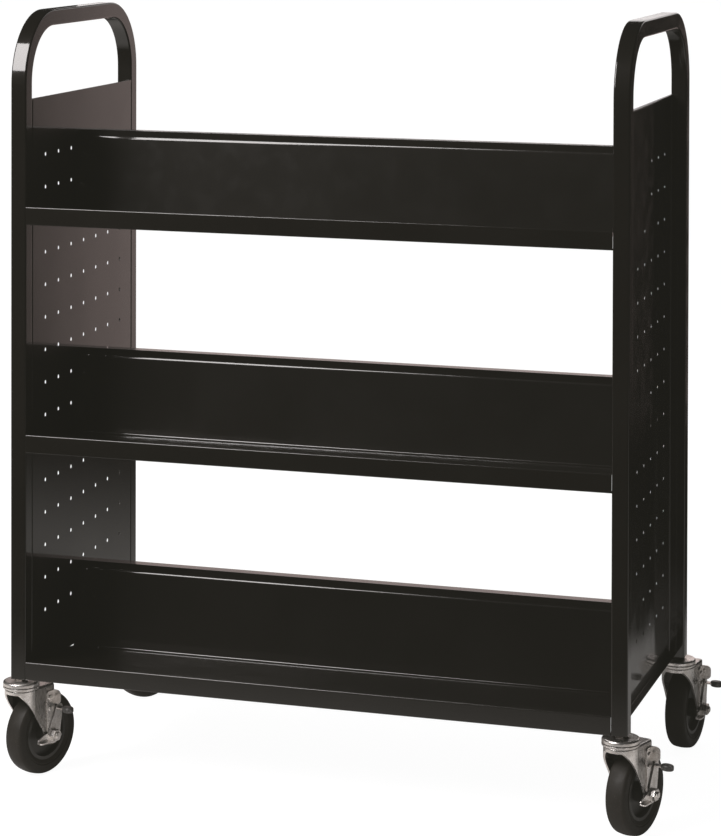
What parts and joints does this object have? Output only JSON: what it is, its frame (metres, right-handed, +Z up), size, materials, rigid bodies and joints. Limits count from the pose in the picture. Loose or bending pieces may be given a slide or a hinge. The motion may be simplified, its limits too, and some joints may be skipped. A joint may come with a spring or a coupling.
{
  "type": "book cart",
  "caption": "Double-sided steel book cart with sloping shelves between perforated end panels, bent-tube push handles and swivel casters with wheel brakes.",
  "frame": {"origin": "on the floor, under the middle of the whole cart outline with the casters at rest", "axes": "+X along the shelves to the right-hand end, +Y from the front to the back, +Z up"},
  "size_m": [1.0386, 0.565, 1.1815],
  "materials": {
    "black_powder_coat": "glossy powder coat, very dark brown-black",
    "bright_zinc": "bright zinc plating on pressed steel",
    "dark_steel": "oiled dark steel",
    "black_rubber": "matte solid rubber",
    "black_plastic": "moulded black plastic"
  },
  "bodies": {
    "frame": {"left_end_tube": "black_powder_coat", "right_end_tube": "black_powder_coat", "left_end_panel": "black_powder_coat", "right_end_panel": "black_powder_coat", "top_shelf": "black_powder_coat", "middle_shelf": "black_powder_coat", "bottom_shelf": "black_powder_coat", "stem_sockets": "dark_steel", "caster_stems": "dark_steel", "stem_nuts": "dark_steel", "top_races": "bright_zinc", "race_balls": "bright_zinc"},
    "front_left_swivel": {"front_left_fork": "bright_zinc", "front_left_axle_bolt": "bright_zinc", "front_left_axle_nut": "bright_zinc", "front_left_thrust_washers": "dark_steel", "front_left_brake_bracket": "bright_zinc", "front_left_bracket_rivets": "dark_steel"},
    "front_left_wheel": {"front_left_tyre": "black_rubber", "front_left_hub": "black_plastic", "front_left_axle_sleeve": "dark_steel"},
    "front_left_brake": {"front_left_brake_lever": "bright_zinc", "front_left_pedal_grip": "black_plastic"},
    "front_right_swivel": {"front_right_fork": "bright_zinc", "front_right_axle_bolt": "bright_zinc", "front_right_axle_nut": "bright_zinc", "front_right_thrust_washers": "dark_steel", "front_right_brake_bracket": "bright_zinc", "front_right_bracket_rivets": "dark_steel"},
    "front_right_wheel": {"front_right_tyre": "black_rubber", "front_right_hub": "black_plastic", "front_right_axle_sleeve": "dark_steel"},
    "front_right_brake": {"front_right_brake_lever": "bright_zinc", "front_right_pedal_grip": "black_plastic"},
    "rear_left_swivel": {"rear_left_fork": "bright_zinc", "rear_left_axle_bolt": "bright_zinc", "rear_left_axle_nut": "bright_zinc", "rear_left_thrust_washers": "dark_steel", "rear_left_brake_bracket": "bright_zinc", "rear_left_bracket_rivets": "dark_steel"},
    "rear_left_wheel": {"rear_left_tyre": "black_rubber", "rear_left_hub": "black_plastic", "rear_left_axle_sleeve": "dark_steel"},
    "rear_left_brake": {"rear_left_brake_lever": "bright_zinc", "rear_left_pedal_grip": "black_plastic"},
    "rear_right_swivel": {"rear_right_fork": "bright_zinc", "rear_right_axle_bolt": "bright_zinc", "rear_right_axle_nut": "bright_zinc", "rear_right_thrust_washers": "dark_steel", "rear_right_brake_bracket": "bright_zinc", "rear_right_bracket_rivets": "dark_steel"},
    "rear_right_wheel": {"rear_right_tyre": "black_rubber", "rear_right_hub": "black_plastic", "rear_right_axle_sleeve": "dark_steel"},
    "rear_right_brake": {"rear_right_brake_lever": "bright_zinc", "rear_right_pedal_grip": "black_plastic"}
  },
  "joints": [
    {"name": "front_left_swivel_turn", "type": "hinge", "parent": "frame", "child": "front_left_swivel", "pos_m": [-0.49127, -0.25454, 0.145], "axis": [0, 0, 1], "continuous": true},
    {"name": "front_left_wheel_spin", "type": "hinge", "parent": "front_left_swivel", "child": "front_left_wheel", "pos_m": [-0.47656, -0.2152, 0.0635], "axis": [-0.9367, 0.3502, 0], "continuous": true},
    {"name": "front_left_brake_press", "type": "hinge", "parent": "front_left_swivel", "child": "front_left_brake", "pos_m": [-0.47656, -0.2152, 0.0635], "axis": [-0.9367, 0.3502, 0], "range_deg": [0, 30]},
    {"name": "front_right_swivel_turn", "type": "hinge", "parent": "frame", "child": "front_right_swivel", "pos_m": [0.44873, -0.25454, 0.145], "axis": [0, 0, 1], "continuous": true},
    {"name": "front_right_wheel_spin", "type": "hinge", "parent": "front_right_swivel", "child": "front_right_wheel", "pos_m": [0.46101, -0.21438, 0.0635], "axis": [-0.9563, 0.2924, 0], "continuous": true},
    {"name": "front_right_brake_press", "type": "hinge", "parent": "front_right_swivel", "child": "front_right_brake", "pos_m": [0.46101, -0.21438, 0.0635], "axis": [-0.9563, 0.2924, 0], "range_deg": [0, 30]},
    {"name": "rear_left_swivel_turn", "type": "hinge", "parent": "frame", "child": "rear_left_swivel", "pos_m": [-0.49127, 0.17746, 0.145], "axis": [0, 0, 1], "continuous": true},
    {"name": "rear_left_wheel_spin", "type": "hinge", "parent": "rear_left_swivel", "child": "rear_left_wheel", "pos_m": [-0.47027, 0.21383, 0.0635], "axis": [-0.866, 0.5, 0], "continuous": true},
    {"name": "rear_left_brake_press", "type": "hinge", "parent": "rear_left_swivel", "child": "rear_left_brake", "pos_m": [-0.47027, 0.21383, 0.0635], "axis": [-0.866, 0.5, 0], "range_deg": [0, 30]},
    {"name": "rear_right_swivel_turn", "type": "hinge", "parent": "frame", "child": "rear_right_swivel", "pos_m": [0.44873, 0.17746, 0.145], "axis": [0, 0, 1], "continuous": true},
    {"name": "rear_right_wheel_spin", "type": "hinge", "parent": "rear_right_swivel", "child": "rear_right_wheel", "pos_m": [0.45421, 0.2191, 0.0635], "axis": [-0.9914, 0.1305, 0], "continuous": true},
    {"name": "rear_right_brake_press", "type": "hinge", "parent": "rear_right_swivel", "child": "rear_right_brake", "pos_m": [0.45421, 0.2191, 0.0635], "axis": [-0.9914, 0.1305, 0], "range_deg": [0, 30]}
  ]
}
